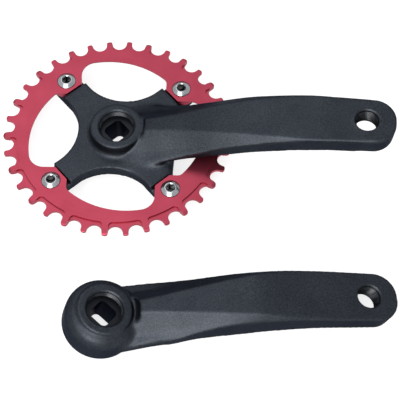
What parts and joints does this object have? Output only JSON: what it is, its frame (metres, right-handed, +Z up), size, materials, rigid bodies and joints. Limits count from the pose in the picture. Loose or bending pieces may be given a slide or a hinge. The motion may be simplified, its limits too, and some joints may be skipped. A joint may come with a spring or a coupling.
{
  "type": "bicycle crankset",
  "caption": "Square-taper bicycle crankset: right arm with bolted narrow-wide chainring on a four-arm spider, and a loose left arm, laid flat outboard side up.",
  "frame": {"origin": "centre of the right arm's square spindle socket at its inboard face, which lies on the surface that the parts rest on", "axes": "+Z up and outboard along the right spindle axis, +X along the right arm towards its pedal hole"},
  "size_m": [0.2477, 0.2197, 0.0525],
  "materials": {
    "arm_black": "satin black, fine blasted texture",
    "ring_red": "red anodised, fine machining marks",
    "bolt_bright": "bright plated",
    "nut_bright": "bright plated"
  },
  "bodies": {
    "right_crank": {"right_crank_arm": "arm_black", "chainring": "ring_red"},
    "left_crank": {"left_crank_arm": "arm_black"},
    "nut_1": {"chainring_nut_1": "nut_bright"},
    "bolt_1": {"chainring_bolt_1": "bolt_bright"},
    "nut_2": {"chainring_nut_2": "nut_bright"},
    "bolt_2": {"chainring_bolt_2": "bolt_bright"},
    "nut_3": {"chainring_nut_3": "nut_bright"},
    "bolt_3": {"chainring_bolt_3": "bolt_bright"},
    "nut_4": {"chainring_nut_4": "nut_bright"},
    "bolt_4": {"chainring_bolt_4": "bolt_bright"}
  },
  "joints": [
    {"name": "left_arm_lift", "type": "slide", "parent": "right_crank", "child": "left_crank", "axis": [0, 0, 1], "range_m": [0, 0.1]},
    {"name": "nut_1_turn", "type": "hinge", "parent": "right_crank", "child": "nut_1", "pos_m": [0.03677, 0.03677, 0.0092], "axis": [0, 0, -1], "range_deg": [0, 2880]},
    {"name": "bolt_1_draw", "type": "slide", "parent": "right_crank", "child": "bolt_1", "axis": [0, 0, 1], "range_m": [0, 0.006]},
    {"name": "nut_2_turn", "type": "hinge", "parent": "right_crank", "child": "nut_2", "pos_m": [-0.03677, 0.03677, 0.0092], "axis": [0, 0, -1], "range_deg": [0, 2880]},
    {"name": "bolt_2_draw", "type": "slide", "parent": "right_crank", "child": "bolt_2", "axis": [0, 0, 1], "range_m": [0, 0.006]},
    {"name": "nut_3_turn", "type": "hinge", "parent": "right_crank", "child": "nut_3", "pos_m": [-0.03677, -0.03677, 0.0092], "axis": [0, 0, -1], "range_deg": [0, 2880]},
    {"name": "bolt_3_draw", "type": "slide", "parent": "right_crank", "child": "bolt_3", "axis": [0, 0, 1], "range_m": [0, 0.006]},
    {"name": "nut_4_turn", "type": "hinge", "parent": "right_crank", "child": "nut_4", "pos_m": [0.03677, -0.03677, 0.0092], "axis": [0, 0, -1], "range_deg": [0, 2880]},
    {"name": "bolt_4_draw", "type": "slide", "parent": "right_crank", "child": "bolt_4", "axis": [0, 0, 1], "range_m": [0, 0.006]}
  ],
  "couplings": [
    {"joint": "bolt_1_draw", "follows": "nut_1_turn", "m_per_rad": 0.00011936},
    {"joint": "bolt_2_draw", "follows": "nut_2_turn", "m_per_rad": 0.00011936},
    {"joint": "bolt_3_draw", "follows": "nut_3_turn", "m_per_rad": 0.00011936},
    {"joint": "bolt_4_draw", "follows": "nut_4_turn", "m_per_rad": 0.00011936}
  ]
}
